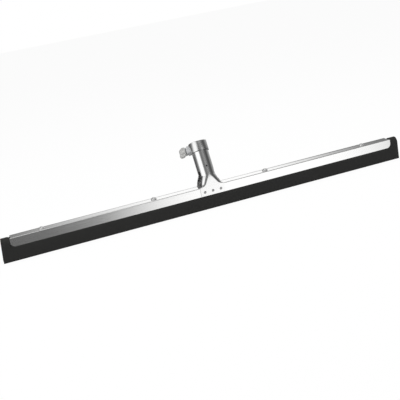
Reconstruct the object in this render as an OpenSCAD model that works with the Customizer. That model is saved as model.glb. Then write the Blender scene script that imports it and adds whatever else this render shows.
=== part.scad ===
// Floor squeegee head: a folded moss-rubber blade riveted between two bent steel
// strips, with a leaning handle socket whose clamp collar carries a wing screw.
// Millimetres. X runs along the blade, Y points to the back, where the socket
// leans, and Z points up. The origin is the middle of the working edge, on the floor.

/* [Rubber blade] */
// Length of the rubber
blade_len = 750; // [400:5:1000]
// Thickness of one ply of the folded rubber
ply_t = 8; // [5:0.5:12]
// Gap between the two lips at the floor
lip_gap = 3; // [1:0.5:6]
// Height of the rubber that shows below the strips
lip_h = 24.6; // [15:0.2:40]
// Height of the slot between the lips
slot_h = 23; // [8:0.5:30]
// Height that the free ends swell above the ledge
end_swell = 0.8; // [0:0.1:2]

/* [Steel strips] */
// Length of rubber that stands out past each end of the strips
end_overhang = 15; // [5:0.5:30]
// Thickness of the sheet
sheet_t = 1; // [0.6:0.1:1.5]
// Height of the front strip
strip_h = 15.8; // [12:0.2:25]
// Inner radius of the bend along the strips
bend_r = 0.8; // [0.3:0.1:2]
// Radius of the lower corners at the strips' ends
low_corner_r = 8; // [2:0.5:10]
// Radius of the upper corners at the strips' ends
top_corner_r = 2.5; // [1:0.5:4]
// Distance of the front strip's ledge from the rear face
ledge_setback = 0.5; // [0.3:0.1:4]
// Distance of the rear strip's flange from the front face
flange_setback = 2.5; // [1.5:0.1:4]

/* [Ledge rivets] */
// Distance between the two inner rivets
inner_rivet_span = 212; // [120:2:320]
// Distance of the outer rivets from the strips' ends
outer_rivet_inset = 56; // [20:1:100]
// Diameter of the shank
ledge_rivet_d = 5; // [2.5:0.1:6]
// Diameter of the domed head
ledge_head_d = 10.5; // [7:0.1:12]
// Height of the domed head
ledge_head_h = 3.9; // [1:0.1:5]
// Diameter of the set tail
ledge_tail_d = 8; // [6.5:0.1:9]
// Thickness of the set tail
ledge_tail_h = 1.2; // [0.5:0.1:2]

/* [Socket rivets] */
// Distance from one socket rivet to the next
socket_rivet_pitch = 15; // [10:0.5:17]
// Height of the socket rivets above the strips' lower edge
socket_rivet_up = 7.4; // [5:0.1:9]
// Diameter of the shank
socket_rivet_d = 3; // [2:0.1:3.5]
// Diameter of the head and of the set tail
socket_head_d = 4.8; // [4:0.1:6]
// Height of the head and of the set tail
socket_head_h = 0.9; // [0.5:0.1:1.5]

/* [Handle socket] */
// Diameter of the handle that the socket takes
bore_d = 28; // [22:0.5:32]
// Wall of the socket tube
tube_t = 1; // [0.8:0.1:1.5]
// Angle by which the socket leans back
lean = 24.4; // [10:0.2:35]
// Height of the mouth above the ledge, along the socket's axis
socket_h = 79; // [72:0.2:120]
// Height above the ledge, along the axis, at which the tube divides into two tongues
crotch_h = 21; // [20:0.5:30]
// Half width of the front tongue above its foot, round the tube
front_waist = 15; // [12:0.1:16]
// Half width of the rear tongue, round the tube
rear_waist = 19.5; // [18.5:0.1:22.5]
// Width of the tongues where they are riveted
tongue_w = 45.4; // [40:0.2:50]
// Height of the riveted part of the tongues
tongue_drop = 15; // [11:0.2:15.6]
// Height above the ledge over which the front web turns upright
bend_rise = 1; // [0.5:0.1:3]
// Distance that the tube's front line, carried down to the ledge, runs in front of the tongue
web_set = 3.2; // [0.5:0.1:6]
// Height of the flat front web's tip above the ledge
web_h = 21.5; // [15:0.5:25]
// Half width of the web's straight sides at the ledge
web_foot = 13.2; // [9:0.1:16]
// Height of the rear tongue's flat part's tip above the ledge
rear_web_h = 20; // [15:0.5:20]
// Half width of the rear tongue's flat part at the ledge, before its foot spreads
rear_web_foot = 19.6; // [12:0.1:21]
// Height over which the tongues widen towards their feet
widening_h = 6.5; // [4:0.5:8]
// Height over which the tongues' flat parts spread to the riveted width
foot_flare = 1.5; // [1:0.1:3]
// Radius of the tongues' rolled edges at the ledge
roll_r = 8.5; // [4:0.5:10]
// Diameter of the tack hole in the front
tack_hole_d = 3.2; // [2:0.1:5]
// Height of the tack hole above the ledge, along the axis
tack_hole_up = 31.5; // [28:0.5:45]

/* [Clamp] */
// Wall of the collar
collar_t = 1.6; // [1:0.1:3]
// Height of the collar
collar_h = 18.4; // [16:0.2:28]
// Angle by which the screw is turned from the left side towards the back
clamp_turn = 30; // [0:5:60]
// Width of the nut across its flats
nut_flats = 16; // [13:0.5:17]
// Length of the nut outside the collar
nut_len = 5.4; // [4:0.2:10]
// Diameter of the screw
screw_d = 10; // [6:0.5:10]
// Gap between the nut and the hub with the screw at rest
hub_gap = 1.8; // [1.6:0.1:6]
// Distance of the screw's tip from the handle with the screw at rest
tip_gap = 0.5; // [0.2:0.1:1.5]
// Diameter of the hub between the wings
hub_d = 15; // [13:0.5:18]
// Length of the hub
hub_len = 12.5; // [11:0.5:16]
// Depth to which the screw is set in the hub
hub_grip = 8; // [5:0.5:8.5]
// Span across the two wings
wing_span = 27; // [24:0.5:40]
// Length of each wing along the screw
wing_len = 11.8; // [6:0.2:12]
// Length of each wing's root along the hub
wing_root = 10; // [6:0.2:11]
// Height that the wings rise past the hub's end
wing_rise = 0.4; // [0.4:0.1:3]
// Thickness of the wings
wing_t = 4; // [2.5:0.1:5]
// Angle of the wings about the screw at rest
wing_turn = 40; // [0:5:180]

/* [Clearances] */
// Room round a rivet's shank in its hole
rivet_room = 0.05; // [0.02:0.01:0.2]
// Room round the set tails in the rubber
tail_room = 0.3; // [0.1:0.1:0.6]
// Room between the collar and what it sits on or carries
collar_room = 0.05; // [0.02:0.01:0.1]
// Room round the screw in the nut and in the hub
thread_room = 0.08; // [0.05:0.01:0.1]
// Room round the screw where it passes the collar and the tube
screw_hole_room = 0.5; // [0.2:0.1:1]

/* [Hidden] */
$fn = 64;
eps = 0.5;

steel = [0.80, 0.81, 0.82];
cast_zinc = [0.70, 0.70, 0.69];
rubber = [0.13, 0.13, 0.13];

strip_len = blade_len - 2 * end_overhang;
core_w = 2 * ply_t;
blade_w = core_w + lip_gap;
channel_w = core_w + 2 * sheet_t;
ledge_z = lip_h + strip_h;
rear_ledge_z = ledge_z - sheet_t;
core_top = rear_ledge_z - sheet_t;
blade_h = ledge_z + end_swell;
fold_r = blade_w / 2;
outer_rivet_x = strip_len / 2 - outer_rivet_inset;
ledge_rivet_x = [-outer_rivet_x, -inner_rivet_span / 2, inner_rivet_span / 2, outer_rivet_x];
socket_rivet_x = [for (i = [-1 : 1]) i * socket_rivet_pitch];
socket_rivet_z = lip_h + socket_rivet_up;

tube_r = bore_d / 2 + tube_t;
tongue_y = channel_w / 2 + sheet_t;
slit_w = PI * tube_r - front_waist - rear_waist;
slit_turn = (front_waist + slit_w / 2) / tube_r * 180 / PI;
front_line_y = -tongue_y - web_set;
axis_y = front_line_y + tube_r / cos(lean);
collar_in_r = tube_r + collar_room;
collar_r = collar_in_r + collar_t;
clamp_h = socket_h - collar_h / 2;
nut_face = collar_r + nut_len;
hub_face = nut_face + hub_gap;
screw_tip = bore_d / 2 + tip_gap;
shank_end = hub_face + hub_grip;

// How far the tongues' centre lines hold their direction, and how full the rear one's flat part is
front_ease = 0.4;
rear_top_ease = tube_r * 0.6;
rear_foot_ease = tube_r * 0.5;
rear_fullness = 1.15;

// Stations along a tongue, facets across it, and how its ends sit in the tube's wall and the plate
tongue_rows = 16;
row_crowding = 0.7;
tongue_facets = 22;
root_depth = 1;
root_inset = tube_t * 0.2;
root_narrowing = tube_t * 0.3;
root_step = 0.02;

// Places its child's Z along the socket's axis, from the ledge's height
module on_axis() {
    translate([0, axis_y, ledge_z]) rotate([-lean, 0, 0]) children();
}

// Points its child's Z out along the clamp screw, from the socket's axis
module on_screw() {
    on_axis() translate([0, 0, clamp_h]) rotate([0, -90, -clamp_turn]) children();
}

// Runs a section drawn in Y and Z along the blade
module along_blade(len) {
    rotate([90, 0, 90]) linear_extrude(len, center = true) children();
}

// Runs an outline drawn in X and Z through the blade's thickness
module through_blade(depth) {
    rotate([90, 0, 0]) linear_extrude(depth, center = true) children();
}

// What rounding takes off a corner at the origin whose inside lies towards +X and +Y
module corner_waste(r) {
    difference() {
        translate([-eps, -eps]) square(r + eps);
        translate([r, r]) circle(r);
    }
}

// Section of a bent strip: an upright leg on the left and a flange to the right
module bent_section(left, right, low, top) {
    difference() {
        translate([left, low]) square([right - left, top - low]);
        translate([left, top]) mirror([0, 1]) corner_waste(bend_r + sheet_t);
        difference() {
            translate([left + sheet_t, low - eps]) square([right - left, top - sheet_t - low + eps]);
            translate([left + sheet_t, top - sheet_t]) mirror([0, 1]) corner_waste(bend_r);
        }
    }
}

// Side outline of the strips, with their rounded ends
module strip_outline() {
    difference() {
        translate([-strip_len / 2, lip_h]) square([strip_len, strip_h]);
        for (side = [0, 1]) mirror([side, 0]) {
            translate([-strip_len / 2, lip_h]) corner_waste(low_corner_r);
            translate([-strip_len / 2, ledge_z]) mirror([0, 1]) corner_waste(top_corner_r);
        }
    }
}

module ledge_rivet_holes() {
    for (x = ledge_rivet_x)
        translate([x, 0, core_top - eps])
            cylinder(d = ledge_rivet_d + 2 * rivet_room, h = 2 * sheet_t + 2 * eps);
}

module socket_rivet_holes() {
    for (x = socket_rivet_x)
        translate([x, 0, socket_rivet_z]) rotate([90, 0, 0])
            cylinder(d = socket_rivet_d + 2 * rivet_room, h = 3 * tongue_y, center = true);
}

// One steel strip, seen as the front one: its flange lies on top or under the other's
module strip(top, setback) {
    difference() {
        intersection() {
            along_blade(strip_len + 2 * eps)
                bent_section(-channel_w / 2, channel_w / 2 - setback, lip_h, top);
            through_blade(2 * channel_w) strip_outline();
        }
        ledge_rivet_holes();
        socket_rivet_holes();
    }
}

module front_strip() {
    color(steel) strip(ledge_z, ledge_setback);
}

module rear_strip() {
    color(steel) mirror([0, 1, 0]) strip(rear_ledge_z, flange_setback);
}

// Folded rubber, free at both ends and pinched where the strips hold it
module rubber_blade() {
    color(rubber) difference() {
        along_blade(blade_len) difference() {
            union() {
                translate([-blade_w / 2, 0]) square([blade_w, blade_h - fold_r]);
                translate([0, blade_h - fold_r]) circle(fold_r);
            }
            translate([-lip_gap / 2, -eps]) square([lip_gap, slot_h - lip_gap / 2 + eps]);
            translate([0, slot_h - lip_gap / 2]) circle(lip_gap / 2);
        }
        difference() {
            through_blade(2 * blade_w) union() {
                strip_outline();
                translate([-strip_len / 2, core_top]) square([strip_len, strip_h]);
            }
            along_blade(strip_len + 2 * eps) pinched_section();
        }
        for (x = ledge_rivet_x)
            translate([x, 0, core_top - ledge_tail_h - tail_room])
                cylinder(d = ledge_tail_d + 2 * tail_room, h = blade_h);
        socket_rivet_holes();
    }
}

// Section of the rubber between the strips, clear of the bend above its back
module pinched_section() {
    difference() {
        translate([-core_w / 2, 0]) square([core_w, core_top]);
        for (side = [0, 1]) mirror([side, 0])
            translate([-core_w / 2, core_top]) mirror([0, 1]) corner_waste(bend_r + tail_room);
    }
}

// Dome of a given diameter and height, standing on the origin
module dome(d, h) {
    sphere_r = (d * d / 4 + h * h) / (2 * h);
    intersection() {
        translate([0, 0, h - sphere_r]) sphere(sphere_r);
        cylinder(d = d + eps, h = h);
    }
}

// Domed rivet whose head stands on the origin and whose tail is set below the grip
module rivet(shank_d, grip, head_d, head_h, tail_d, tail_h) {
    dome(head_d, head_h);
    translate([0, 0, -grip - tail_h / 2]) cylinder(d = shank_d, h = grip + (tail_h + head_h) / 2);
    translate([0, 0, -grip - tail_h]) cylinder(d = tail_d, h = tail_h);
}

module ledge_rivet(i) {
    color(steel) translate([ledge_rivet_x[i], 0, ledge_z])
        rivet(ledge_rivet_d, 2 * sheet_t, ledge_head_d, ledge_head_h, ledge_tail_d, ledge_tail_h);
}

module socket_rivet(i) {
    color(steel) translate([socket_rivet_x[i], -tongue_y, socket_rivet_z]) rotate([90, 0, 0])
        rivet(socket_rivet_d, 2 * tongue_y, socket_head_d, socket_head_h, socket_head_d, socket_head_h);
}

// Point and downward direction of a cubic curve through the YZ plane
function curve_at(p, t) =
    pow(1 - t, 3) * p[0] + 3 * pow(1 - t, 2) * t * p[1] + 3 * (1 - t) * t * t * p[2] + pow(t, 3) * p[3];
function slope_at(p, t) =
    let (d = pow(1 - t, 2) * (p[1] - p[0]) + 2 * (1 - t) * t * (p[2] - p[1]) + t * t * (p[3] - p[2]))
    d / norm(d);

// A place given as a distance up the axis and a distance back from it
function axis_point(up, back) =
    [axis_y + up * sin(lean) + back * cos(lean), ledge_z + up * cos(lean) - back * sin(lean)];

// Height along the socket's front line above the bend, measured up the axis
front_bend_up = -tube_r * tan(lean) + bend_rise / cos(lean);

// Centre line of each tongue's outer face, from the tube down to the ledge
function tongue_line(front) =
    front
    ? [axis_point(crotch_h, -tube_r), axis_point(crotch_h - (crotch_h - front_bend_up) * front_ease, -tube_r),
       [-tongue_y, ledge_z + bend_rise], [-tongue_y, ledge_z]]
    : [axis_point(crotch_h, tube_r), axis_point(crotch_h - rear_top_ease, tube_r),
       [tongue_y, ledge_z + rear_foot_ease], [tongue_y, ledge_z]];

// A tongue's half width along the sheet, its flat part and its rolled edge, a distance from its foot
function sheet_half(front, h) =
    let (waist = front ? front_waist : rear_waist)
    waist + (tongue_w / 2 - waist) * exp(-h / widening_h);
function flat_half(front, h, reach) =
    let (foot = front ? web_foot : rear_web_foot)
    foot * (1 - pow(min(1, h / reach), front ? 1 : rear_fullness))
        + (tongue_w / 2 - foot) * exp(-h / foot_flare);
function edge_r(h, reach) = roll_r + (tube_r - roll_r) * min(1, h / reach);

// Sideways place and depth of a point a distance w across the sheet, sunk below its face
function across(w, flat, r, sunk) =
    let (
        turn = max(0, abs(w) - flat) / r * 180 / PI,
        side = w < 0 ? -1 : 1
    )
    [side * (min(abs(w), flat) + (r - sunk) * sin(turn)), r - (r - sunk) * cos(turn)];

// One row of points across a tongue, square to the sheet in front and turning evenly behind
function tongue_row(line, front, t, lift, sunk) =
    let (
        place = curve_at(line, t),
        down = slope_at(line, t),
        normal = (front ? 1 : -1) * [-down[1], down[0]],
        inward = front ? normal : [-cos(lean * (1 - t)), sin(lean * (1 - t))],
        base = place - lift * down,
        h = norm(place - line[3]),
        reach = front ? web_h : rear_web_h,
        half = sheet_half(front, h) - (lift == 0 ? 0 : root_narrowing),
        flat = min(flat_half(front, h, reach), half),
        r = edge_r(h, reach)
    )
    [for (j = [0 : tongue_facets])
        let (
            a = across(half * (2 * j / tongue_facets - 1), flat, r, sunk / (inward * normal)),
            p = base + a[1] * inward
        )
        [a[0], p[0], p[1]]];

// All rows of one face of a tongue: a root at each end and the steps between them
function tongue_face(line, front, steps, root_sunk, sunk) = concat(
    tongue_row(line, front, 0, root_depth, root_sunk),
    [for (t = steps) each tongue_row(line, front, t, 0, sunk)],
    tongue_row(line, front, 1, -root_depth, root_sunk)
);

// Half tube flattened on its way down to the ledge, rooted in the tube's wall and in the plate below
module tongue(front) {
    line = tongue_line(front);
    steps = [for (i = [0 : tongue_rows])
        root_step + (1 - 2 * root_step) * pow(i / tongue_rows, row_crowding)];
    outer = tongue_face(line, front, steps, root_inset, 0);
    inner = tongue_face(line, front, steps, tube_t - root_inset, tube_t);
    n = tongue_facets + 1;
    count = len(outer);
    rows = count / n;
    function quad(a, b, c, d) = front ? [[a, b, c], [a, c, d]] : [[c, b, a], [d, c, a]];
    faces = concat(
        [for (i = [0 : rows - 2], j = [0 : n - 2]) each
            let (a = i * n + j) quad(a, a + 1, a + n + 1, a + n)],
        [for (i = [0 : rows - 2], j = [0 : n - 2]) each
            let (a = count + i * n + j) quad(a, a + n, a + n + 1, a + 1)],
        [for (i = [0 : rows - 2], j = [0, n - 1]) each
            let (a = i * n + j, b = a + n)
            j == 0 ? quad(a, b, b + count, a + count) : quad(a, a + count, b + count, b)],
        [for (i = [0, rows - 1], j = [0 : n - 2]) each
            let (a = i * n + j)
            i == 0 ? quad(a, a + count, a + count + 1, a + 1) : quad(a, a + 1, a + count + 1, a + count)]
    );
    polyhedron(concat(outer, inner), faces);
}

// Riveted part of a tongue, flat against a strip
module tongue_plate() {
    difference() {
        translate([-tongue_w / 2, -tongue_y, ledge_z - tongue_drop]) cube([tongue_w, sheet_t, tongue_drop]);
        socket_rivet_holes();
    }
}

module handle_socket() {
    color(steel) {
        difference() {
            on_axis() translate([0, 0, crotch_h]) difference() {
                cylinder(r = tube_r, h = socket_h - crotch_h);
                translate([0, 0, -eps]) cylinder(d = bore_d, h = socket_h - crotch_h + 2 * eps);
                for (side = [-1, 1])
                    rotate([90, 0, side * slit_turn]) cylinder(d = slit_w - 2 * root_inset, h = 2 * tube_r);
            }
            on_screw() cylinder(d = screw_d + 2 * screw_hole_room, h = 2 * tube_r);
            on_axis() translate([0, 0, tack_hole_up]) rotate([90, 0, 0])
                cylinder(d = tack_hole_d, h = 2 * tube_r);
        }
        tongue(true);
        tongue(false);
        tongue_plate();
        mirror([0, 1, 0]) tongue_plate();
    }
}

module clamp_collar() {
    color(steel) difference() {
        on_axis() translate([0, 0, socket_h - collar_h]) difference() {
            cylinder(r = collar_r, h = collar_h);
            translate([0, 0, -eps]) cylinder(r = collar_in_r, h = collar_h + 2 * eps);
        }
        on_screw() cylinder(d = screw_d + 2 * screw_hole_room, h = 2 * collar_r);
    }
}

module clamp_nut() {
    color(steel) difference() {
        on_screw() cylinder(d = nut_flats / cos(30), h = nut_face, $fn = 6);
        on_screw() translate([0, 0, -eps]) cylinder(d = screw_d + 2 * thread_room, h = nut_face + 2 * eps);
        on_axis() cylinder(r = collar_r + collar_room, h = 2 * socket_h);
    }
}

module screw_shank() {
    color(steel) on_screw() translate([0, 0, screw_tip]) cylinder(d = screw_d, h = shank_end - screw_tip);
}

// Outline of one wing, drawn out from the screw's axis along X
module wing_outline() {
    lobe_r = wing_len / 2;
    reach = wing_span / 2 - lobe_r;
    top = hub_len + wing_rise;
    translate([reach, top - lobe_r]) circle(lobe_r);
    polygon([[0, hub_len - wing_root], [reach, top - wing_len], [reach, top], [0, hub_len]]);
}

module wing_head() {
    color(cast_zinc) on_screw() translate([0, 0, hub_face]) difference() {
        union() {
            cylinder(d = hub_d, h = hub_len);
            rotate([0, 0, wing_turn]) for (side = [0, 1]) mirror([side, 0, 0])
                rotate([90, 0, 0]) linear_extrude(wing_t, center = true) wing_outline();
        }
        translate([0, 0, -eps]) cylinder(d = screw_d + 2 * thread_room, h = hub_grip + thread_room + eps);
    }
}

front_strip();
rear_strip();
rubber_blade();
handle_socket();
clamp_collar();
clamp_nut();
screw_shank();
wing_head();
for (i = [0 : 3]) ledge_rivet(i);
for (i = [0 : 2]) socket_rivet(i);
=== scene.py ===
"""Looks of a floor squeegee head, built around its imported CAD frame."""
from math import ceil, cos, exp, pi, radians, sin, sqrt, tan

import bmesh
import bpy
from mathutils import Matrix, Vector


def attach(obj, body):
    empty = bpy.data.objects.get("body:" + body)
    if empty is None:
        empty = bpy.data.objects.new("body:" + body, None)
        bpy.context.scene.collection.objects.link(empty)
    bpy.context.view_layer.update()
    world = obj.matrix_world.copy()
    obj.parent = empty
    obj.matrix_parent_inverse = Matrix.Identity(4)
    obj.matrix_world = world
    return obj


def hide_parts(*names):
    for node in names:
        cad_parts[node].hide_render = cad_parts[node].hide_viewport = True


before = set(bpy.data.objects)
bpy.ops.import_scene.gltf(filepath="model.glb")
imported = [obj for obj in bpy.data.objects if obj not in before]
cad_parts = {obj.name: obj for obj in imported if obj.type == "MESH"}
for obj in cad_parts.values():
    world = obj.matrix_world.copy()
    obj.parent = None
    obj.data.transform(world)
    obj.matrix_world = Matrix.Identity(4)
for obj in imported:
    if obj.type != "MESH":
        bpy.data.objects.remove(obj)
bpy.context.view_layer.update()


# Rubber blade
# One strip of black closed-cell moss rubber, folded lengthwise so that both
# lips stand on the floor. The steel strips pinch it, and its ends stay free.
MM = 0.001
DOUBLES_WITHIN = 0.002
BLADE_LEN = 750
# Half sections as (y, z): between the strips, at the free ends, and round the slot.
HELD_SIDE = [
    (9.1, 0), (9.5, 0.4), (9.5, 4), (9.5, 8), (9.52, 12), (9.6, 16), (9.65, 19), (9.6, 21.5),
    (9.35, 23.2), (8.9, 24.1), (8.3, 24.5), (7.98, 24.9), (7.98, 28), (7.98, 32), (7.98, 36),
    (7.9, 37.4), (7.2, 38.2), (5, 38.38), (2.5, 38.38), (0, 38.38),
]
FREE_R = 9.5
FREE_SHOULDER = 31.7
FREE_SIDE = [(9.1, 0)]
FREE_SIDE += [
    (FREE_R, z) for z in (0.4, 4, 8, 12, 16, 19, 21.5, 23.2, 24.6, 26.5, 28.5, FREE_SHOULDER)
]
FREE_SIDE += [
    (FREE_R * cos(radians(a)), FREE_SHOULDER + FREE_R * sin(radians(a)))
    for a in (15, 30, 45, 60, 72, 81, 90)
]
SLOT_SIDE = [
    (1.9, 0), (1.5, 0.4), (1.5, 6), (1.5, 12), (1.5, 18),
    (1.45, 20.5), (1.2, 22), (0.7, 22.75), (0, 23),
]
SWELL_FROM, SWELL_TO = 359.9, 361.8
# The left end was cut a little off square.
OFF_SQUARE, SQUARE_AT_Z = 0.09, 30
END_EDGE = 0.3
END_STATIONS = (373, 370.5, 368, 366, 364.5, 363, 362.3, SWELL_TO)
SWELL_STATIONS = (361.4, 361, 360.6, 360.2, SWELL_FROM, 357, 350, 340)
PORE_SCALE, PORE_DEPTH = 900.0, 0.00012


class Wire:
    """One output of a shader node. Arithmetic on it adds Math nodes to its tree."""

    def __init__(self, tree, socket=None):
        self.tree = tree
        self.socket = socket

    def node(self, kind, settings=None, inputs=None, out=0):
        """A node of any kind: its settings come first, then its sockets' values or links."""
        made = self.tree.nodes.new("ShaderNode" + kind)
        for name, value in (settings or {}).items():
            setattr(made, name, value)
        for name, value in (inputs or {}).items():
            if isinstance(value, Wire):
                self.tree.links.new(value.socket, made.inputs[name])
            else:
                made.inputs[name].default_value = value
        return Wire(self.tree, made.outputs[out] if made.outputs else None)

    def math(self, operation, *values):
        return self.node("Math", {"operation": operation}, dict(enumerate(values)))

    def __add__(self, other):
        return self.math("ADD", self, other)

    __radd__ = __add__

    def __mul__(self, other):
        return self.math("MULTIPLY", self, other)

    __rmul__ = __mul__

    def __sub__(self, other):
        return self.math("SUBTRACT", self, other)

    def __rsub__(self, other):
        return self.math("SUBTRACT", other, self)

    def rises(self, low, high):
        """0 below low, 1 above high, and a smooth rise between them."""
        return self.node(
            "MapRange", {"interpolation_type": "SMOOTHSTEP"},
            {"Value": self, "From Min": low, "From Max": high},
        )

    def tint(self, low, high):
        """A colour between low and high, by this value."""
        ends = {6: (*low, 1), 7: (*high, 1)}
        return self.node("Mix", {"data_type": "RGBA"}, {0: self, **ends}, out=2)

    def noise(self, scale, detail=2.0, rough=0.5):
        """Noise on this vector."""
        return self.node(
            "TexNoise", {}, {"Vector": self, "Scale": scale, "Detail": detail, "Roughness": rough},
        )

    def mapped(self, scale, turn):
        """This vector, turned and then stretched."""
        turned = self.node("Mapping", {}, {"Vector": self, "Rotation": turn})
        return turned.node("Mapping", {}, {"Vector": turned, "Scale": scale})

    def bump(self, height, distance, strength):
        """A normal from a height, over a distance in metres."""
        return self.node("Bump", {}, {"Height": height, "Distance": distance, "Strength": strength})


def new_finish(name):
    """An empty material, and a wire of its object coordinates in metres."""
    material = bpy.data.materials.new(name)
    material.use_nodes = True
    material.node_tree.nodes.clear()
    place = Wire(material.node_tree).node("TexCoord", out="Object")
    return material, place


def surface(place, **sockets):
    """Closes a material with one Principled shader."""
    shader = place.node("BsdfPrincipled", {}, {k.replace("_", " "): v for k, v in sockets.items()})
    place.node("OutputMaterial", {}, {"Surface": shader})


def add_piece(name, mesh, finishes, body, slot, *replaced):
    """Puts a mesh in the scene as a piece of the object that stands for CAD nodes."""
    piece = bpy.data.objects.new(name, mesh)
    bpy.context.scene.collection.objects.link(piece)
    for finish in finishes:
        mesh.materials.append(finish)
    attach(piece, body)
    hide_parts(*replaced)


def smooth(mesh, crease):
    """Smooth shading, except at edges over the crease angle."""
    mesh.polygons.foreach_set("use_smooth", [True] * len(mesh.polygons))
    mesh.set_sharp_from_angle(angle=radians(crease))


def mesh_of(name, points, faces, crease=40):
    """A mesh from points in millimetres, with doubles joined and faces turned out."""
    mesh = bpy.data.meshes.new(name)
    mesh.from_pydata([tuple(v * MM for v in p) for p in points], [], faces)
    mesh.validate()
    tidy = bmesh.new()
    tidy.from_mesh(mesh)
    bmesh.ops.remove_doubles(tidy, verts=tidy.verts, dist=DOUBLES_WITHIN * MM)
    bmesh.ops.recalc_face_normals(tidy, faces=tidy.faces)
    tidy.to_mesh(mesh)
    tidy.free()
    smooth(mesh, crease)
    return mesh


def loft(rings, closed=True, caps=True):
    """Points of rings of equal count, ring after ring, and the faces between them."""
    n = len(rings[0])
    faces = []
    for i in range(len(rings) - 1):
        for j in range(n if closed else n - 1):
            k = (j + 1) % n
            faces.append((i * n + j, i * n + k, (i + 1) * n + k, (i + 1) * n + j))
    if caps:
        faces.append(tuple(range(n)))
        faces.append(tuple(range((len(rings) - 1) * n, len(rings) * n)))
    return [p for ring in rings for p in ring], faces


def eased(value, low, high):
    """0 below low, 1 above high, and a smooth rise between them."""
    t = min(1, max(0, (value - low) / (high - low)))
    return t * t * (3 - 2 * t)


def blade_ring(x, inset):
    """Section of the rubber at x: pinched between the strips, round-backed at the free ends."""
    free = eased(abs(x), SWELL_FROM, SWELL_TO)
    side = [
        (held_y + (free_y - held_y) * free, held_z + (free_z - held_z) * free)
        for (held_y, held_z), (free_y, free_z) in zip(HELD_SIDE, FREE_SIDE)
    ]
    top = side[-1][1]
    side = [(max(0, y - inset), min(max(z, inset), top - inset)) for y, z in side]
    slot = [(y + inset, max(z, inset)) for y, z in SLOT_SIDE[:-1]]
    crown = SLOT_SIDE[-1][1] + inset
    right = [(x, y, z) for y, z in side]
    left = [(x, -y, z) for y, z in reversed(side[:-1])]
    slot_left = [(x, -y, z) for y, z in slot]
    slot_right = [(x, y, z) for y, z in reversed(slot)]
    ring = right + left + slot_left + [(x, 0, crown)] + slot_right
    skew = OFF_SQUARE * eased(-x, SWELL_TO, BLADE_LEN / 2)
    return [(x - skew * (SQUARE_AT_Z - z), y, z) for x, y, z in ring]


half_blade = BLADE_LEN / 2
stations = [(half_blade, END_EDGE), (half_blade - END_EDGE, 0)]
stations += [(x, 0) for x in (*END_STATIONS, *SWELL_STATIONS, *range(320, 0, -20))]
stations = [(-x, inset) for x, inset in stations] + [(0, 0)] + list(reversed(stations))
rubber, place = new_finish("moss_rubber")
pores = place.node("TexVoronoi", {"feature": "F1"}, {"Vector": place, "Scale": PORE_SCALE})
cloud = place.noise(55.0, 4.0)
grain = place.noise(2600.0, 2.0)
surface(
    place,
    Base_Color=(0.65 * cloud + 0.35 * grain).tint((0.024, 0.024, 0.0232), (0.04, 0.04, 0.0378)),
    Roughness=0.62 + 0.2 * cloud,
    IOR=1.5,
    Normal=place.bump(0.7 * pores + 0.3 * grain, PORE_DEPTH, 0.35),
)
blade_mesh = mesh_of("moss_rubber_blade", *loft([blade_ring(x, inset) for x, inset in stations]))
add_piece("moss_rubber_blade", blade_mesh, [rubber], "head", "black_rubber", "rubber_blade")


# Front and rear strips
# Two rolled steel strips, bright zinc plated, bent over so that the front one's
# ledge lies on the rear one's flange. Shearing turned the ledge's edge up a little.
SHEET_T = 1
STRIP_HALF = 360
STRIP_LOW, LEDGE_Z = 24.6, 40.4
STRIP_FACE = 9
LEDGE_REACH, FLANGE_REACH = 8.5, 6.5
BEND_OUT_R = 1.5
LOW_CORNER_R, TOP_CORNER_R, TOP_CORNER_DEPTH = 8, 2.5, 0.8
TURN_UP, TURN_UP_LEN, TURN_UP_STEPS = radians(16), 4, 8
LEG_LEVELS = (STRIP_LOW, 24.75, 25.1, 25.6, 26.3, 27.2, 28.4, 30, 32.6, 35, 36.8)
STRIP_END_DEPTHS = (0, 0.2, 1, 3, 6, 10, 20)
STRIP_EDGE = 0.14
BRIGHT_ZINC = (0.88, 0.88, 0.875)


def grey(tone):
    return (tone, tone, tone)


def plated_finish(
    name, grain_scale, turn=(0, 0, 0), roughness=0.2, tone=(0.85, 0.85, 0.845), metallic=1.0,
):
    """Zinc plate: rolled or drawn lines, faint clouding and handling marks."""
    material, place = new_finish(name)
    lines = place.mapped(grain_scale, turn).noise(1.0, 3.0, 0.6)
    cloud = place.noise(22.0, 3.0)
    marks = place.noise(160.0, 5.0, 0.7).rises(0.62, 0.8)
    pale = tuple(min(1, c * 1.06) for c in tone)
    surface(
        place,
        Metallic=metallic,
        Base_Color=(0.7 * cloud + 0.3 * lines).tint(tone, pale),
        Roughness=roughness - 0.05 + 0.08 * lines + 0.05 * cloud + 0.05 * marks,
        Normal=place.bump(lines, 0.00002, 0.25),
    )
    return material


def settled(name, mesh, *modifiers):
    """The mesh as it is after some modifiers."""
    worker = bpy.data.objects.new(name, mesh)
    bpy.context.scene.collection.objects.link(worker)
    for kind, settings in modifiers:
        added = worker.modifiers.new(kind, kind)
        for key, value in settings.items():
            setattr(added, key, value)
    shaped = worker.evaluated_get(bpy.context.evaluated_depsgraph_get())
    made = bpy.data.meshes.new_from_object(shaped)
    made.name = name
    bpy.data.objects.remove(worker)
    return made


def broken_edges(width):
    """A small bevel along every sharp edge, as a modifier."""
    return "BEVEL", {
        "width": width * MM, "segments": 2, "limit_method": "ANGLE", "angle_limit": radians(60),
    }


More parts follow.
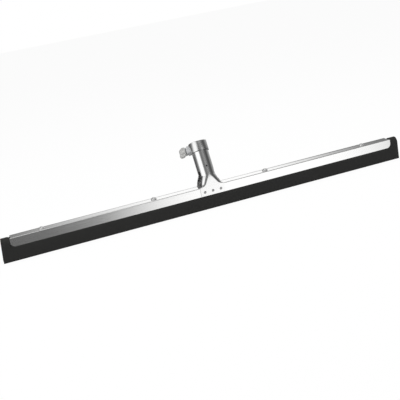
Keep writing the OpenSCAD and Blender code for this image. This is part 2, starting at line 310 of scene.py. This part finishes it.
def strip_path(sign, top, reach, turn_up):
    """Outer face of a strip in section: up the leg, round the bend and along the flange."""
    path = [(sign * STRIP_FACE, z) for z in LEG_LEVELS]
    for a in range(0, 91, 9):
        in_by, down_by = 1 - cos(radians(a)), 1 - sin(radians(a))
        path.append((sign * (STRIP_FACE - BEND_OUT_R * in_by), top - BEND_OUT_R * down_by))
    path += [(sign * y, top) for y in (6, 4, 2, 0, -2)]
    for k in range(TURN_UP_STEPS + 1):
        along = k / TURN_UP_STEPS
        edge = -reach + TURN_UP_LEN * (1 - along)
        path.append((sign * edge, top + TURN_UP_LEN / 2 * tan(turn_up) * along ** 2))
    return path


def strip_end(z, top):
    """Half length of a strip at a height, with its rounded corners."""
    low = max(0, LOW_CORNER_R - (z - STRIP_LOW))
    high = min(TOP_CORNER_R, max(0, z - (top - TOP_CORNER_R)))
    low_cut = LOW_CORNER_R - sqrt(LOW_CORNER_R ** 2 - low ** 2)
    high_cut = TOP_CORNER_R - sqrt(TOP_CORNER_R ** 2 - high ** 2)
    return STRIP_HALF - low_cut - TOP_CORNER_DEPTH * high_cut


def bent_strip(name, sign, top, reach, turn_up):
    """A strip of even thickness along its section's path, with rounded corners at both ends."""
    path = strip_path(sign, top, reach, turn_up)
    inner = []
    for i, (y, z) in enumerate(path):
        (y0, z0), (y1, z1) = path[max(0, i - 1)], path[min(len(path) - 1, i + 1)]
        run = sqrt((y1 - y0) ** 2 + (z1 - z0) ** 2)
        inner.append((y - sign * SHEET_T * (z1 - z0) / run, z - SHEET_T * abs(y1 - y0) / run))
    ends = [strip_end(z, top) for y, z in path]
    section = [(end, y, z) for end, (y, z) in zip(ends, path)]
    section += [(end, y, z) for end, (y, z) in reversed(list(zip(ends, inner)))]
    rings = [[(depth - end, y, z) for end, y, z in section] for depth in STRIP_END_DEPTHS]
    rings += [[(x, y, z) for end, y, z in section] for x in range(-320, 321, 40)]
    for depth in reversed(STRIP_END_DEPTHS):
        rings.append([(end - depth, y, z) for end, y, z in section])
    points, faces = loft(rings, caps=False)
    around = len(section)
    for first in (0, (len(rings) - 1) * around):
        across = first + around - 1
        for i in range(len(path) - 1):
            faces.append((first + i, first + i + 1, across - i - 1, across - i))
    made = settled(name, mesh_of(name, points, faces), broken_edges(STRIP_EDGE))
    smooth(made, 40)
    return made


strip_plate = plated_finish("rolled_zinc_plate", (4, 1400, 1400), roughness=0.13, tone=BRIGHT_ZINC)
front_mesh = bent_strip("front_bent_strip", -1, LEDGE_Z, LEDGE_REACH, TURN_UP)
rear_mesh = bent_strip("rear_bent_strip", 1, LEDGE_Z - SHEET_T, FLANGE_REACH, 0)
add_piece("front_bent_strip", front_mesh, [strip_plate], "head", "plated_steel", "front_strip")
add_piece("rear_bent_strip", rear_mesh, [strip_plate], "head", "plated_steel", "rear_strip")


# Ledge rivets
# Domed steel rivets through the ledge and the flange under it, set before the
# rubber goes in. Their zinc plate is duller than the strips'.
LEDGE_RIVETS = 4
dome_plate = plated_finish(
    "rivet_zinc_plate", (700, 700, 700), roughness=0.33, tone=(0.9, 0.9, 0.895), metallic=0.65,
)


def plate_rivets(name, count, plate):
    """Gives a row of CAD rivets their finish."""
    for number in range(1, count + 1):
        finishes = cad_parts[f"{name}_{number}"].data.materials
        finishes.clear()
        finishes.append(plate)


plate_rivets("ledge_rivet", LEDGE_RIVETS, dome_plate)


# Handle socket
# A leaning tube of plated sheet steel. Below, its front and rear are cut free
# from each other, flattened and bent upright to straddle the strips.
LEAN = radians(24.4)
TUBE_R = 15
AXIS_Y = 3.2711
MOUTH_UP = 79
CROTCH_UP = 21
TONGUE_Y = 10
TONGUE_HALF = 22.7
TONGUE_DROP = 15
BEND_RISE = 1
FRONT_EASE = 0.4
REAR_TOP_EASE, REAR_FOOT_EASE = 9, 7.5
WIDENING_H, FOOT_FLARE, ROLL_R = 6.5, 1.5, 8.5
# Of each tongue: half its width at the waist, the height over which it goes flat,
# half its flat at the foot, and how soon the flat fills out.
FRONT = {"sign": -1, "waist": 15, "reach": 21.5, "foot": 13.2, "fullness": 1, "columns": 56}
REAR = {"sign": 1, "waist": 19.5, "reach": 20, "foot": 19.6, "fullness": 1.15, "columns": 72}
NOTCH_R = (pi * TUBE_R - FRONT["waist"] - REAR["waist"]) / 2
TACK_HOLE_R, TACK_HOLE_UP = 1.6, 31.5
CLAMP_UP = 69.8
CLAMP_TURN = radians(30)
SCREW_HOLE_R = 5.5
SOCKET_EDGE = 0.1
DRILL_CLEAR = 3
SOCKET_DRILL_FROM, SCREW_DRILL_LEN = 11, 8
TUBE_ROWS, NOTCH_ROWS, BEND_ROWS, DROP_ROWS = 14, 12, 48, 6
BEND_ROW_SPREAD = 0.75
DRILL_SIDES = 48

axis_dir = Vector((0, sin(LEAN), cos(LEAN)))
back_dir = Vector((0, cos(LEAN), -sin(LEAN)))
side_dir = Vector((1, 0, 0))
screw_x = axis_dir
screw_y = sin(CLAMP_TURN) * side_dir + cos(CLAMP_TURN) * back_dir
screw_out = -cos(CLAMP_TURN) * side_dir + sin(CLAMP_TURN) * back_dir


def on_axis(up, back=0.0, side=0.0):
    """A place by its distance up the socket's axis, and to the back and right of it."""
    return Vector((0, AXIS_Y, LEDGE_Z)) + up * axis_dir + back * back_dir + side * side_dir


def on_screw(x, y, out):
    """A place by its distance out along the clamp screw, and across it."""
    return on_axis(CLAMP_UP) + x * screw_x + y * screw_y + out * screw_out


def cubic(p, t):
    """A place on a smooth bend through four points, and the way it runs there."""
    s = 1 - t
    spot = s ** 3 * p[0] + 3 * s * s * t * p[1] + 3 * s * t * t * p[2] + t ** 3 * p[3]
    slope = s * s * (p[1] - p[0]) + 2 * s * t * (p[2] - p[1]) + t * t * (p[3] - p[2])
    return spot, slope.normalized()


def sheet_rows(part):
    """Rows of the sheet's outer face, from the mouth down to the tongue's edge.

    A row holds its middle, its way inward, half its width, half its flat and the
    radius of its rolled sides.
    """
    sign = part["sign"]
    straight = -sign * back_dir
    half_ring = part["waist"] + NOTCH_R
    rows = []
    notch_top = CROTCH_UP + NOTCH_R
    for i in range(TUBE_ROWS + 1):
        up = MOUTH_UP + (notch_top - MOUTH_UP) * i / TUBE_ROWS
        rows.append((on_axis(up, sign * TUBE_R), straight, half_ring, 0, TUBE_R))
    for i in range(1, NOTCH_ROWS + 1):
        a = radians(90 * i / NOTCH_ROWS)
        up = CROTCH_UP + NOTCH_R * cos(a)
        rows.append((on_axis(up, sign * TUBE_R), straight, half_ring - NOTCH_R * sin(a), 0, TUBE_R))
    foot = Vector((0, sign * TONGUE_Y, LEDGE_Z))
    top = on_axis(CROTCH_UP, sign * TUBE_R)
    if sign < 0:
        bend_up = -TUBE_R * tan(LEAN) + BEND_RISE / cos(LEAN)
        held = on_axis(CROTCH_UP - (CROTCH_UP - bend_up) * FRONT_EASE, -TUBE_R)
        line = [top, held, foot + Vector((0, 0, BEND_RISE)), foot]
    else:
        held = on_axis(CROTCH_UP - REAR_TOP_EASE, TUBE_R)
        line = [top, held, foot + Vector((0, 0, REAR_FOOT_EASE)), foot]
    for i in range(1, BEND_ROWS + 1):
        t = (i / BEND_ROWS) ** BEND_ROW_SPREAD
        spot, slope = cubic(line, t)
        normal = -sign * Vector((0, -slope.z, slope.y))
        turn = LEAN * (1 - t)
        inward = normal if sign < 0 else Vector((0, -cos(turn), sin(turn)))
        h = (spot - foot).length
        near = min(1, h / part["reach"])
        half = part["waist"] + (TONGUE_HALF - part["waist"]) * exp(-h / WIDENING_H)
        flat = part["foot"] * (1 - near ** part["fullness"])
        flat += (TONGUE_HALF - part["foot"]) * exp(-h / FOOT_FLARE)
        rows.append((spot, inward, half, min(flat, half), ROLL_R + (TUBE_R - ROLL_R) * near))
    for i in range(1, DROP_ROWS + 1):
        down = foot - Vector((0, 0, TONGUE_DROP * i / DROP_ROWS))
        rows.append((down, Vector((0, -sign, 0)), TONGUE_HALF, TONGUE_HALF, ROLL_R))
    return rows


def sheet_points(part):
    """Each row's points, rolled inward on both sides of its flat."""
    rings = []
    for spot, inward, half, flat, roll in sheet_rows(part):
        ring = []
        for j in range(part["columns"] + 1):
            w = half * (2 * j / part["columns"] - 1)
            turn = max(0, abs(w) - flat) / roll
            side = min(abs(w), flat) + roll * sin(turn)
            sideways = (side if w > 0 else -side) * side_dir
            ring.append(spot + sideways + roll * (1 - cos(turn)) * inward)
        rings.append(ring)
    return rings


def drilled(name, mesh, start, along, length, radius):
    """The mesh with a round hole, drilled from start in a direction."""
    along = along.normalized()
    across = along.orthogonal().normalized()
    other = along.cross(across)
    angles = [2 * pi * k / DRILL_SIDES for k in range(DRILL_SIDES)]
    circle = [radius * (cos(a) * across + sin(a) * other) for a in angles]
    rings = [[start + depth * along + spot for spot in circle] for depth in (0, length)]
    drill_mesh = mesh_of("drill", *loft(rings))
    drill = bpy.data.objects.new("drill", drill_mesh)
    bpy.context.scene.collection.objects.link(drill)
    cut = ("BOOLEAN", {"operation": "DIFFERENCE", "solver": "EXACT", "object": drill})
    made = settled(name, mesh, cut)
    bpy.data.objects.remove(drill)
    bpy.data.meshes.remove(drill_mesh)
    return made


front_points, front_faces = loft(sheet_points(FRONT), closed=False, caps=False)
rear_points, rear_faces = loft(sheet_points(REAR), closed=False, caps=False)
first_rear = len(front_points)
rear_faces = [tuple(reversed([first_rear + v for v in face])) for face in rear_faces]
socket_mesh = mesh_of("socket_sheet", front_points + rear_points, front_faces + rear_faces)
along_tube = (LEAN, 0, 0)
tube_plate = plated_finish("drawn_zinc_plate", (1100, 1100, 6), along_tube, 0.17, BRIGHT_ZINC)
# Painted shade: the sheet's inner face is plated a darker grey, for the shade inside the tube and
# behind the tongues.
shaded_inner_plate = plated_finish("inner_painted_shade_plate", (500, 500, 20), along_tube, 0.5, grey(0.56))
cut_edge, place = new_finish("matt_cut_edge")
shear = place.noise(1500.0, 3.0, 0.6)
surface(
    place,
    Metallic=0.3,
    Base_Color=shear.tint(grey(0.74), (0.86, 0.86, 0.85)),
    Roughness=0.5 + 0.15 * shear,
    Normal=place.bump(shear, 0.00004, 0.3),
)
for finish in (tube_plate, shaded_inner_plate, cut_edge):
    socket_mesh.materials.append(finish)
thickness = ("SOLIDIFY", {
    "thickness": SHEET_T * MM, "offset": -1, "use_even_offset": True,
    "material_offset": 1, "material_offset_rim": 2,
})
socket_mesh = settled("socket_sheet", socket_mesh, thickness, broken_edges(SOCKET_EDGE))
tack_start = on_axis(TACK_HOLE_UP, -TUBE_R - DRILL_CLEAR)
tack_len = 2 * DRILL_CLEAR
socket_mesh = drilled("socket_sheet", socket_mesh, tack_start, back_dir, tack_len, TACK_HOLE_R)


def screw_hole(name, mesh, start):
    return drilled(name, mesh, on_screw(0, 0, start), screw_out, SCREW_DRILL_LEN, SCREW_HOLE_R)


socket_mesh = screw_hole("socket_sheet", socket_mesh, SOCKET_DRILL_FROM)
smooth(socket_mesh, 20)
# The sheet has carried its three finishes since before it was given its thickness.
add_piece("leaning_handle_socket", socket_mesh, [], "head", "plated_steel", "handle_socket")


# Socket rivets
# Three small plated steel rivets through both tongues, both strips and the
# rubber, with low round heads in front and set tails behind.
SOCKET_RIVETS = 3
small_rivet_plate = plated_finish(
    "small_rivet_plate", (900, 900, 900), roughness=0.3, tone=(0.76, 0.76, 0.755),
)
plate_rivets("socket_rivet", SOCKET_RIVETS, small_rivet_plate)


# Clamp collar
# A turned steel ring pressed on the socket's mouth. It stiffens the sheet where
# the clamp screw's nut is fixed to it.
COLLAR_R = 16.65
COLLAR_IN_R = 15.05
COLLAR_LOW = 60.6
COLLAR_DRILL_FROM = 12
COLLAR_EDGE, COLLAR_LOW_EDGE, COLLAR_IN_EDGE = 0.45, 0.8, 0.15
AROUND = 144


def turned(profile, spot):
    """A profile of radius and height, turned about a line; spot gives its points."""
    rings = [[spot(r, h, 2 * pi * k / AROUND) for k in range(AROUND)] for r, h in profile]
    return loft(rings, caps=False)


def round_corner(r, h, toward_r, toward_h, size, steps=4):
    """Points round a corner of a profile, from its radial side to its axial side."""
    return [
        (r + toward_r * size * (1 - cos(radians(a))), h + toward_h * size * (1 - sin(radians(a))))
        for a in (90 * k / steps for k in range(steps + 1))
    ]


collar_profile = (
    round_corner(COLLAR_R, COLLAR_LOW, -1, 1, COLLAR_LOW_EDGE)[::-1]
    + round_corner(COLLAR_R, MOUTH_UP, -1, -1, COLLAR_EDGE)
    + round_corner(COLLAR_IN_R, MOUTH_UP, 1, -1, COLLAR_IN_EDGE)[::-1]
    + round_corner(COLLAR_IN_R, COLLAR_LOW, 1, 1, COLLAR_IN_EDGE)
)
collar_profile.append(collar_profile[0])


def round_socket(r, h, a):
    return on_axis(h, r * sin(a), r * cos(a))


collar_mesh = mesh_of("turned_collar", *turned(collar_profile, round_socket))
collar_mesh = screw_hole("turned_collar", collar_mesh, COLLAR_DRILL_FROM)
smooth(collar_mesh, 40)
collar_plate = plated_finish("turned_zinc_plate", (5, 5, 1500), along_tube, 0.27)
# Painted shade: the collar's lowest rim is plated a dark grey, for the shade under its lower edge.
shaded_rim_plate = plated_finish("rim_painted_shade_plate", (5, 5, 1500), along_tube, 0.4, grey(0.3))
for face in collar_mesh.polygons:
    up = (face.center / MM - on_axis(0)).dot(axis_dir)
    if up < COLLAR_LOW + COLLAR_LOW_EDGE:
        face.material_index = 1
collar_plates = [collar_plate, shaded_rim_plate]
add_piece("turned_clamp_collar", collar_mesh, collar_plates, "head", "plated_steel", "clamp_collar")


# Clamp nut
# A plain hexagon nut of zinc-plated steel, fixed to the collar's side, saddled
# on its curve and chamfered at its outer face.
NUT_FLATS = 16
NUT_FACE = 22.05
NUT_CHAMFER_R, NUT_CHAMFER_SLOPE = 7.5, 1.6
NUT_BORE_R, NUT_BORE_EDGE = 5.08, 0.5
NUT_GAP = 0.06
NUT_STEPS = 10
NUT_DEPTHS = (0, 0.15, 0.3, 0.5, 0.7, 0.9, 1.4)


def hex_r(a):
    """The nut's outline: its distance from the screw's axis at an angle."""
    return NUT_FLATS / 2 / cos((a % (pi / 3)) - pi / 6)


nut_angles = [(pi / 3) * (k / NUT_STEPS) for k in range(6 * NUT_STEPS)]


def nut_ring(depth):
    """The nut's outline at a depth under its face, cut back by the chamfer."""
    ring = []
    for a in nut_angles:
        r = min(hex_r(a), NUT_CHAMFER_R + depth * NUT_CHAMFER_SLOPE)
        ring.append(on_screw(r * cos(a), r * sin(a), NUT_FACE - depth))
    return ring


def bore_ring(r, out):
    return [on_screw(r * cos(a), r * sin(a), out) for a in nut_angles]


def saddle(radii):
    """Where a line round the screw meets the collar, by its distances from the axis."""
    ring = []
    for r, a in zip(radii, nut_angles):
        across = r * sin(a)
        ring.append(on_screw(r * cos(a), across, sqrt((COLLAR_R + NUT_GAP) ** 2 - across ** 2)))
    return ring


nut_rings = [bore_ring(NUT_BORE_R, NUT_FACE - NUT_BORE_EDGE)]
nut_rings += [bore_ring(NUT_BORE_R + NUT_BORE_EDGE, NUT_FACE)]
nut_rings += [nut_ring(depth) for depth in NUT_DEPTHS]
nut_rings += [saddle([hex_r(a) for a in nut_angles]), saddle([NUT_BORE_R] * len(nut_angles))]
nut_rings += [nut_rings[0]]
nut_mesh = mesh_of("hexagon_nut", *loft(nut_rings, caps=False), crease=25)
nut_plate, place = new_finish("nut_zinc_plate")
facing = place.noise(700.0, 3.0, 0.6)
dulling = place.noise(120.0, 3.0)
surface(
    place,
    Metallic=0.25,
    Base_Color=(0.6 * dulling + 0.4 * facing).tint((0.7, 0.71, 0.72), (0.86, 0.87, 0.88)),
    Roughness=0.4 + 0.16 * facing,
    Normal=place.bump(facing, 0.00006, 0.3),
)
add_piece("hexagon_clamp_nut", nut_mesh, [nut_plate], "head", "plated_steel", "clamp_nut")


# Screw shank
# The clamp screw's shank, of plated steel, with a coarse right-hand thread. Its
# point is turned down and presses on the handle.
TIP_OUT, SHANK_END = 14.5, 31.85
THREAD_R, ROOT_R, PITCH = 4.98, 4.15, 1.5
THREAD_SIDES, ROWS_PER_PITCH = 28, 10
ROOT_FLAT, FLANK = 0.1, 0.75
POINT_R, POINT_LEN, POINT_EDGE, POINT_FACE = 3.7, 1.5, 0.3, 0.8
FIRST_THREAD_ROW = 4


def thread_r(out, a):
    """The shank's radius: a ridge that climbs one pitch a turn, and the point turned down."""
    turn = (out / PITCH + a / (2 * pi)) % 1
    ridge = min(1, max(0, (abs(turn - 0.5) * 2 - ROOT_FLAT) / FLANK))
    r = ROOT_R + (THREAD_R - ROOT_R) * ridge
    return min(r, POINT_R + (THREAD_R - POINT_R) * eased(out - TIP_OUT, 0.2, POINT_LEN))


def shank_ring(radius, out):
    angles = [2 * pi * k / THREAD_SIDES for k in range(THREAD_SIDES)]
    return [on_screw(radius(out, a) * cos(a), radius(out, a) * sin(a), out) for a in angles]


rows = ceil((SHANK_END - TIP_OUT) / (PITCH / ROWS_PER_PITCH))
shank_rings = [
    shank_ring(lambda out, a: POINT_FACE * POINT_R, TIP_OUT),
    shank_ring(lambda out, a: POINT_R, TIP_OUT + POINT_EDGE),
]
for i in range(FIRST_THREAD_ROW, rows + 1):
    shank_rings.append(shank_ring(thread_r, TIP_OUT + (SHANK_END - TIP_OUT) * i / rows))
shank_mesh = mesh_of("threaded_shank", *loft(shank_rings), crease=50)
shank_plate = plated_finish(
    "thread_zinc_plate", (900, 900, 900), roughness=0.3, tone=(0.62, 0.63, 0.64),
)
add_piece("threaded_screw_shank", shank_mesh, [shank_plate], "screw", "plated_steel", "screw_shank")


# Wing head
# Die-cast zinc wings, cast on the screw's end and left as they come from the
# die: matt, with soft edges and a swelling where the wings leave the hub.
HUB_FACE, HUB_LEN, HUB_R = 23.85, 12.5, 7.5
WING_SPAN, WING_LEN, WING_ROOT, WING_RISE, WING_T = 27, 11.8, 10, 0.4, 4
WING_TURN = radians(40)
# Slices through a wing's thickness: their heights, as parts of it, and their insets.
WING_SLICES = ((-0.5, 0.9), (-0.38, 0.3), (0, 0), (0.38, 0.3), (0.5, 0.9))
HUB_BORE_R, HUB_BORE_DEPTH, HUB_DRILL_LEAD = 5.12, 8.1, 1
CAST_GRID, CAST_SOFTENING = 0.32, 6
wing_dir = cos(WING_TURN) * screw_x + sin(WING_TURN) * screw_y
wing_flat = -sin(WING_TURN) * screw_x + cos(WING_TURN) * screw_y
hub_profile = [
    (0.01, 0), (HUB_R - 0.5, 0), (HUB_R - 0.1, 0.35), (HUB_R, 1), (HUB_R - 0.1, 5), (HUB_R - 0.5, 9.8),
    (HUB_R - 1.1, 11.4), (HUB_R - 2.4, 12.2), (HUB_R - 4.5, HUB_LEN), (0.01, HUB_LEN),
]


def round_screw(r, h, a):
    return on_screw(r * cos(a), r * sin(a), HUB_FACE + h)


hub_points, hub_faces = turned(hub_profile, round_screw)
lobe = WING_LEN / 2
lobe_x = WING_SPAN / 2 - lobe
lobe_h = HUB_LEN + WING_RISE - lobe
outline = [(0, HUB_LEN - WING_ROOT)]
outline += [
    (lobe_x + lobe * cos(radians(a)), lobe_h + lobe * sin(radians(a))) for a in range(-90, 91, 10)
]
outline += [(0, HUB_LEN - 0.5)]


def wing_slice(side, lift, inset):
    """The wing's outline at a height in its thickness, drawn in towards its lobe's middle."""
    shrink = 1 - inset / lobe
    ring = []
    for x, h in outline:
        x, h = lobe_x + (x - lobe_x) * shrink, lobe_h + (h - lobe_h) * shrink
        spot = on_axis(CLAMP_UP) + side * x * wing_dir + lift * WING_T * wing_flat
        ring.append(spot + (HUB_FACE + h) * screw_out)
    return ring


cast_points, cast_faces = list(hub_points), list(hub_faces)
for side in (-1, 1):
    wing_points, wing_faces = loft([wing_slice(side, lift, inset) for lift, inset in WING_SLICES])
    first = len(cast_points)
    cast_points += wing_points
    cast_faces += [tuple(first + v for v in face) for face in wing_faces]
cast_mesh = settled(
    "cast_wings", mesh_of("cast_wings", cast_points, cast_faces),
    ("REMESH", {"mode": "VOXEL", "voxel_size": CAST_GRID * MM}),
    ("SMOOTH", {"factor": 0.5, "iterations": CAST_SOFTENING}),
)
bore_start = on_screw(0, 0, HUB_FACE - HUB_DRILL_LEAD)
bore_len = HUB_DRILL_LEAD + HUB_BORE_DEPTH
cast_mesh = drilled("cast_wings", cast_mesh, bore_start, screw_out, bore_len, HUB_BORE_R)
smooth(cast_mesh, 50)
cast_zinc, place = new_finish("cast_zinc")
skin = place.noise(900.0, 4.0, 0.6)
patches = place.noise(140.0, 3.0)
surface(
    place,
    Metallic=0.4,
    Base_Color=(0.6 * patches + 0.4 * skin).tint((0.7, 0.7, 0.69), (0.88, 0.88, 0.86)),
    Roughness=0.42 + 0.16 * skin,
    Normal=place.bump(skin, 0.00012, 0.4),
)
add_piece("cast_wing_head", cast_mesh, [cast_zinc], "wings", "cast_zinc", "wing_head")


# Floor, light and camera
# A plain white sweep with a faint shadow, a soft overhead lamp, and a studio
# whose white panels and dark gaps give the plated steel its bright and dark bands.
FLOOR_HALF, FLOOR_Z = 6.0, -0.0003
corners = ((-1, -1), (1, -1), (1, 1), (-1, 1))
floor_mesh = bpy.data.meshes.new("floor")
corners = [(x * FLOOR_HALF, y * FLOOR_HALF, FLOOR_Z) for x, y in corners]
floor_mesh.from_pydata(corners, [], [(0, 1, 2, 3)])
floor = bpy.data.objects.new("floor", floor_mesh)
bpy.context.scene.collection.objects.link(floor)
floor_paint, place = new_finish("floor_paint")
seen = place.node("LightPath", out="Is Camera Ray")
plain = place.node("BsdfDiffuse", {}, {"Color": (0.8, 0.8, 0.8, 1)})
faint = place.node("AddShader", {}, {
    0: place.node("Emission", {}, {"Color": (1, 1, 1, 1), "Strength": 0.93}),
    1: place.node("BsdfDiffuse", {}, {"Color": (0.1, 0.1, 0.1, 1)}),
})
paint = place.node("MixShader", {}, {0: seen, 1: plain, 2: faint})
place.node("OutputMaterial", {}, {"Surface": paint})
floor.visible_glossy = False
floor_mesh.materials.append(floor_paint)

studio = bpy.data.worlds.new("studio")
studio.use_nodes = True
studio.node_tree.nodes.clear()
way = Wire(studio.node_tree).node("TexCoord", out="Generated")
rightward, backward, height = (way.node("SeparateXYZ", {}, {0: way}, out=i) for i in range(3))
bearing = rightward.math("ARCTAN2", rightward, 0 - backward)


def past(start, full, line=bearing):
    """1 beyond a bearing, in degrees to the right of the object's front, with a soft edge."""
    return line.rises(radians(start), radians(full))


def between(low, high, soft):
    """1 between two heights, from -1 straight down to 1 straight up, with soft edges."""
    return height.rises(low - soft, low + soft) * (1 - height.rises(high - soft, high + soft))


low_left = 1 - height.rises(-0.1, 0.25)
left_panel = past(-108, -80) - past(-46, -28, bearing + radians(20) * low_left)
left_panel = left_panel * between(-0.5, 0.75, 0.08)
left_gap = 1 - past(-130, -112)
front_gap = past(-33, -23) * (1 - past(-3, 7)) * (1 - height.rises(0.3, 0.5))
front_sweep = (past(6.6, 15.2) - past(26.5, 37)) * between(-0.75, 0.42, 0.04)
high_front = past(-14, 14) * (1 - past(20, 48))
high_front = high_front * (0.1 * height.rises(0.44, 0.52) + 0.3 * height.rises(0.62, 0.8))
right_gap = past(36, 68) * (1 - past(68, 100))
right_sweep = (past(84, 132) - past(138, 149)) * height.rises(-0.3, 0.1)
back_wall = (past(149.5, 160) - past(166, 181)) * between(0.05, 0.6, 0.05)
back_sweep = past(135, 150) * between(-0.75, 0.03, 0.04)
left_back = (1 - past(-150, -135)) * (1 - height.rises(-0.38, -0.29))
ceiling = 0.6 * height.rises(0.9, 0.97)
gaps = 0.06 * left_gap + 0.06 * front_gap + 0.1 * right_gap
sweeps = front_sweep + high_front + 0.35 * right_sweep + 0.5 * back_sweep + 0.7 * left_back
mirrored = 0.17 - gaps + left_panel + sweeps + 0.9 * back_wall + ceiling
seen = way.node("LightPath", out="Is Camera Ray")
in_gloss = way.node("LightPath", out="Is Glossy Ray")
in_glass = way.node("LightPath", out="Is Transmission Ray")
glow = 0.5 * (seen + (1 - seen) * mirrored)
backdrop = way.node("Background", {}, {"Color": glow.tint((0, 0, 0), (2, 2, 2))})
soft_light = way.node("Background", {}, {"Color": (1, 1, 1, 1), "Strength": 0.34})
shown = seen.math("MAXIMUM", seen, in_gloss.math("MAXIMUM", in_gloss, in_glass))
surroundings = way.node("MixShader", {}, {0: shown, 1: soft_light, 2: backdrop})
way.node("OutputWorld", {}, {"Surface": surroundings})
bpy.context.scene.world = studio

overhead = bpy.data.lights.new("overhead", "AREA")
overhead.shape = "RECTANGLE"
overhead.size, overhead.size_y = 2.4, 1.6
overhead.energy = 16
lamp = bpy.data.objects.new("overhead", overhead)
lamp.location = (-0.3, -0.2, 1.7)
lamp.visible_glossy = False
bpy.context.scene.collection.objects.link(lamp)

VIEW_YAW, VIEW_RISE, VIEW_ROLL = radians(15.70), radians(15.95), radians(10.42)
VIEW_DIST = 1420.36
VIEW_TARGET = Vector((-24.02, 0, 17.82))
toward = Vector((-sin(VIEW_YAW) * cos(VIEW_RISE), -cos(VIEW_YAW) * cos(VIEW_RISE), sin(VIEW_RISE)))
level = (-toward).cross(Vector((0, 0, 1))).normalized()
upright = level.cross(-toward)
right = cos(VIEW_ROLL) * level - sin(VIEW_ROLL) * upright
top = sin(VIEW_ROLL) * level + cos(VIEW_ROLL) * upright
lens = bpy.data.cameras.new("camera")
lens.sensor_width = 36
lens.lens = 72
camera = bpy.data.objects.new("camera", lens)
stand = Matrix((right, top, toward)).transposed().to_4x4()
stand.translation = (VIEW_TARGET + VIEW_DIST * toward) * MM
camera.matrix_world = stand
bpy.context.scene.collection.objects.link(camera)
bpy.context.scene.camera = camera
bpy.context.scene.view_settings.view_transform = "Standard"
